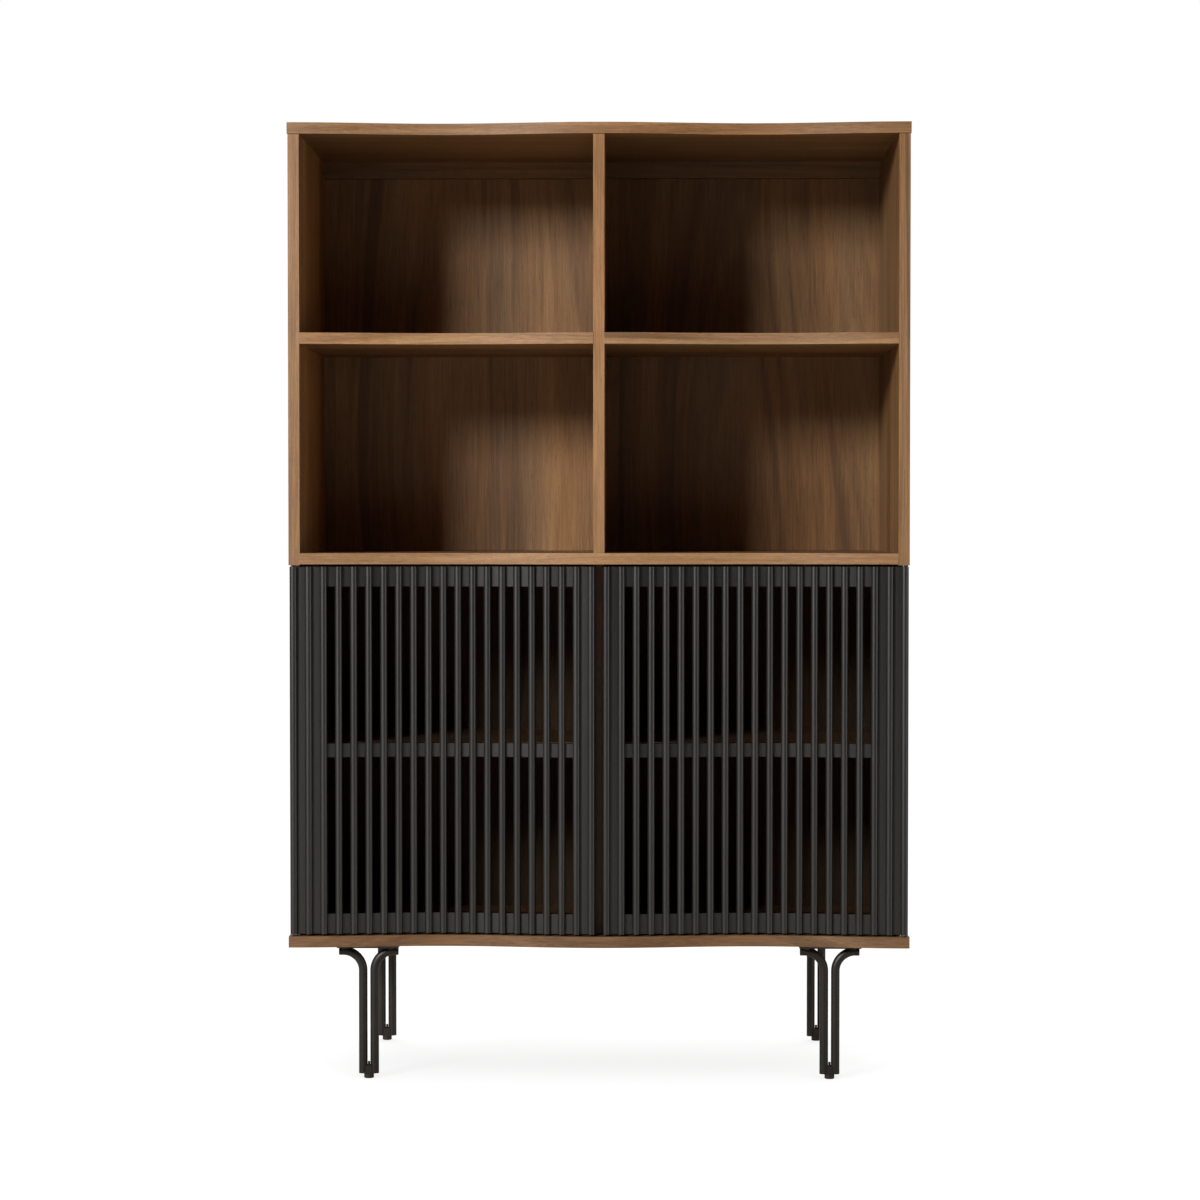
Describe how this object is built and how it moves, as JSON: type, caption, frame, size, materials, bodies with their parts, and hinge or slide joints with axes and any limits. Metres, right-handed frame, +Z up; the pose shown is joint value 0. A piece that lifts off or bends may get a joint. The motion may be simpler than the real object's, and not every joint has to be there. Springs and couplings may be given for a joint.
{
  "type": "cube storage unit",
  "caption": "Free-standing walnut bookcase with open cubes above, curved slatted doors below and bent-tube legs",
  "frame": {"origin": "centre of the overall outline on the floor, under the middle of the body", "axes": "+Z up, -Y the front with the doors, +X to the right seen from the front"},
  "size_m": [1, 0.424, 1.543],
  "materials": {
    "walnut": "satin",
    "beech": "matte",
    "black_wood": "satin",
    "brass": "satin",
    "steel": "satin",
    "bronze": "satin",
    "glide_plastic": "matte"
  },
  "bodies": {
    "body": {"top_panel": "walnut", "bottom_panel": "walnut", "left_side_panel": "walnut", "right_side_panel": "walnut", "fixed_shelf": "walnut", "upper_divider": "walnut", "lower_divider": "walnut", "left_upper_shelf": "walnut", "right_upper_shelf": "walnut", "back_panel": "walnut", "left_back_rail": "walnut", "right_back_rail": "walnut", "carcass_dowels": "beech", "shelf_pins": "steel", "pivot_pins": "steel", "leg_screws": "bronze", "front_left_leg_tubes": "bronze", "front_right_leg_tubes": "bronze", "rear_left_leg_tubes": "bronze", "rear_right_leg_tubes": "bronze", "front_left_foot_block": "bronze", "front_right_foot_block": "bronze", "rear_left_foot_block": "bronze", "rear_right_foot_block": "bronze", "front_left_leg_plate": "bronze", "front_right_leg_plate": "bronze", "rear_left_leg_plate": "bronze", "rear_right_leg_plate": "bronze"},
    "left_door": {"left_outer_stile": "black_wood", "left_inner_stile": "black_wood", "left_top_rail": "black_wood", "left_middle_rail": "black_wood", "left_bottom_rail": "black_wood", "left_rods": "black_wood", "left_pivot_bushes": "brass"},
    "right_door": {"right_outer_stile": "black_wood", "right_inner_stile": "black_wood", "right_top_rail": "black_wood", "right_middle_rail": "black_wood", "right_bottom_rail": "black_wood", "right_rods": "black_wood", "right_pivot_bushes": "brass"},
    "left_shelf": {"left_lower_shelf": "walnut"},
    "right_shelf": {"right_lower_shelf": "walnut"},
    "front_left_glide_body": {"front_left_glide": "glide_plastic"},
    "front_right_glide_body": {"front_right_glide": "glide_plastic"},
    "rear_left_glide_body": {"rear_left_glide": "glide_plastic"},
    "rear_right_glide_body": {"rear_right_glide": "glide_plastic"}
  },
  "joints": [
    {"name": "left_door_hinge", "type": "hinge", "parent": "body", "child": "left_door", "pos_m": [-0.4885, -0.193, 0.5345], "axis": [0, 0, -1], "range_deg": [0, 90]},
    {"name": "right_door_hinge", "type": "hinge", "parent": "body", "child": "right_door", "pos_m": [0.4885, -0.193, 0.5345], "axis": [0, 0, 1], "range_deg": [0, 90]},
    {"name": "left_shelf_lift", "type": "slide", "parent": "body", "child": "left_shelf", "axis": [0, 0, 1], "range_m": [0, 0.06]},
    {"name": "right_shelf_lift", "type": "slide", "parent": "body", "child": "right_shelf", "axis": [0, 0, 1], "range_m": [0, 0.06]},
    {"name": "front_left_glide_travel", "type": "slide", "parent": "body", "child": "front_left_glide_body", "axis": [0, 0, -1], "range_m": [0, 0.008]},
    {"name": "front_right_glide_travel", "type": "slide", "parent": "body", "child": "front_right_glide_body", "axis": [0, 0, -1], "range_m": [0, 0.008]},
    {"name": "rear_left_glide_travel", "type": "slide", "parent": "body", "child": "rear_left_glide_body", "axis": [0, 0, -1], "range_m": [0, 0.008]},
    {"name": "rear_right_glide_travel", "type": "slide", "parent": "body", "child": "rear_right_glide_body", "axis": [0, 0, -1], "range_m": [0, 0.008]}
  ]
}
